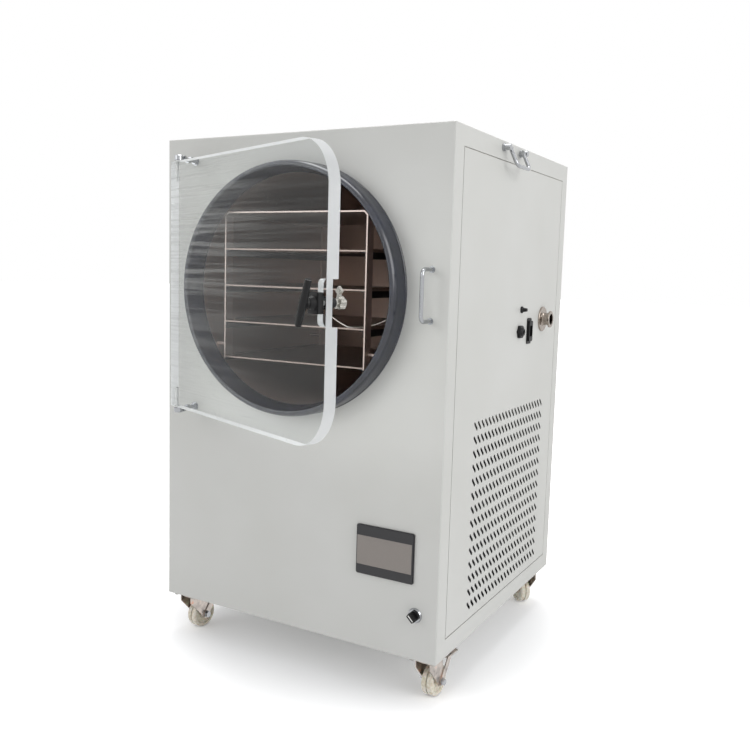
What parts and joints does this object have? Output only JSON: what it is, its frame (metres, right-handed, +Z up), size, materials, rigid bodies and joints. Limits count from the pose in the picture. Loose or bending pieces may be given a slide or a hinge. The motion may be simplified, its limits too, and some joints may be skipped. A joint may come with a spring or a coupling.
{
  "type": "laboratory freeze dryer",
  "caption": "Floor-standing laboratory freeze dryer on casters: folded-sheet cabinet with slotted sides, round chamber with a heated shelf rack, clear hinged door, touch panel and vacuum port",
  "frame": {"origin": "on the floor, below the middle of the cabinet", "axes": "+Z up, -Y to the front with the door, +X to the machine's right seen from the front, where the vacuum port is"},
  "size_m": [0.7638, 1.0168, 1.145],
  "materials": {
    "paint": "satin",
    "seal": "satin",
    "stainless": "polished",
    "shelf": "satin",
    "zinc": "zinc plated",
    "chrome": "polished",
    "black": "matte",
    "gloss_black": "gloss",
    "screen": "gloss",
    "acrylic": "polished",
    "nylon": "matte",
    "wheel": "satin",
    "foam": "matte",
    "silicone": "matte",
    "copper": "satin",
    "compressor_black": "gloss",
    "fins": "satin"
  },
  "bodies": {
    "cabinet": {"front_panel": "paint", "top_cover": "paint", "base_tray": "paint", "rear_panel": "paint", "right_side_panel": "paint", "left_side_panel": "paint", "frame": "zinc", "fasteners": "zinc", "chamber": "stainless", "door_seal": "seal", "rack_frame": "stainless", "rack_rails": "black", "shelf_1": "shelf", "shelf_2": "shelf", "shelf_3": "shelf", "shelf_4": "shelf", "shelf_heaters": "silicone", "probe_lead": "silicone", "hmi_bezel": "gloss_black", "hmi_screen": "screen", "selector_body": "chrome", "catch_bar": "chrome", "hinge_eyes": "zinc", "handle_bosses": "chrome", "vacuum_port": "chrome", "cable_gland": "black", "power_inlet": "black", "vent_plug": "black", "caster_plates": "zinc", "compressor": "compressor_black", "condenser": "fins", "evaporator_coil": "copper", "insulation": "foam", "control_box": "zinc", "suction_pipe": "stainless"},
    "door": {"door_pane": "acrylic", "hinge_pins": "nylon", "latch_base": "black", "latch_bush": "black"},
    "latch": {"latch_handle": "black", "latch_spindle": "chrome", "latch_hook": "chrome"},
    "selector": {"selector_knob": "black"},
    "bail_r": {"bail_right": "chrome"},
    "bail_l": {"bail_left": "chrome"},
    "fan": {"condenser_fan": "black"},
    "swivel_fr": {"caster_fork_fr": "zinc", "caster_axle_fr": "zinc"},
    "wheel_fr": {"caster_wheel_fr": "wheel"},
    "swivel_fl": {"caster_fork_fl": "zinc", "caster_axle_fl": "zinc"},
    "wheel_fl": {"caster_wheel_fl": "wheel"},
    "swivel_rr": {"caster_fork_rr": "zinc", "caster_axle_rr": "zinc"},
    "wheel_rr": {"caster_wheel_rr": "wheel"},
    "swivel_rl": {"caster_fork_rl": "zinc", "caster_axle_rl": "zinc"},
    "wheel_rl": {"caster_wheel_rl": "wheel"},
    "pedal_fr": {"brake_pedal_fr": "black"},
    "pedal_fl": {"brake_pedal_fl": "black"}
  },
  "joints": [
    {"name": "door_hinge", "type": "hinge", "parent": "cabinet", "child": "door", "pos_m": [-0.2635, -0.4113, 0.824], "axis": [0, 0, -1], "range_deg": [-22, 158]},
    {"name": "latch_turn", "type": "hinge", "parent": "door", "child": "latch", "pos_m": [0.23825, -0.62696, 0.812], "axis": [0.3746, 0.9272, 0], "range_deg": [0, 90]},
    {"name": "selector_turn", "type": "hinge", "parent": "cabinet", "child": "selector", "pos_m": [0.301, -0.349, 0.191], "axis": [0, 1, 0], "range_deg": [0, 90]},
    {"name": "bail_right_swing", "type": "hinge", "parent": "cabinet", "child": "bail_r", "pos_m": [0.361, -0.057, 1.13], "axis": [0, -1, 0], "range_deg": [0, 65]},
    {"name": "bail_left_swing", "type": "hinge", "parent": "cabinet", "child": "bail_l", "pos_m": [-0.361, -0.057, 1.13], "axis": [0, 1, 0], "range_deg": [0, 65]},
    {"name": "fan_spin", "type": "hinge", "parent": "cabinet", "child": "fan", "pos_m": [0.2, 0.015, 0.264], "axis": [1, 0, 0], "continuous": true},
    {"name": "swivel_fr_turn", "type": "hinge", "parent": "cabinet", "child": "swivel_fr", "pos_m": [0.313, -0.305, 0.09], "axis": [0, 0, 1], "continuous": true},
    {"name": "wheel_fr_roll", "type": "hinge", "parent": "swivel_fr", "child": "wheel_fr", "pos_m": [0.31441, -0.27804, 0.0325], "axis": [0.9986, -0.0523, 0], "continuous": true},
    {"name": "pedal_fr_press", "type": "hinge", "parent": "swivel_fr", "child": "pedal_fr", "pos_m": [0.31441, -0.27804, 0.0325], "axis": [0.9986, -0.0523, 0], "range_deg": [-12, 0]},
    {"name": "swivel_fl_turn", "type": "hinge", "parent": "cabinet", "child": "swivel_fl", "pos_m": [-0.313, -0.305, 0.09], "axis": [0, 0, 1], "continuous": true},
    {"name": "wheel_fl_roll", "type": "hinge", "parent": "swivel_fl", "child": "wheel_fl", "pos_m": [-0.31018, -0.27815, 0.0325], "axis": [0.9945, -0.1045, 0], "continuous": true},
    {"name": "pedal_fl_press", "type": "hinge", "parent": "swivel_fl", "child": "pedal_fl", "pos_m": [-0.31018, -0.27815, 0.0325], "axis": [0.9945, -0.1045, 0], "range_deg": [-12, 0]},
    {"name": "swivel_rr_turn", "type": "hinge", "parent": "cabinet", "child": "swivel_rr", "pos_m": [0.313, 0.291, 0.09], "axis": [0, 0, 1], "continuous": true},
    {"name": "wheel_rr_roll", "type": "hinge", "parent": "swivel_rr", "child": "wheel_rr", "pos_m": [0.29325, 0.30941, 0.0325], "axis": [0.682, 0.7314, 0], "continuous": true},
    {"name": "swivel_rl_turn", "type": "hinge", "parent": "cabinet", "child": "swivel_rl", "pos_m": [-0.313, 0.291, 0.09], "axis": [0, 0, 1], "continuous": true},
    {"name": "wheel_rl_roll", "type": "hinge", "parent": "swivel_rl", "child": "wheel_rl", "pos_m": [-0.32223, 0.31637, 0.0325], "axis": [0.9397, 0.342, 0], "continuous": true}
  ]
}
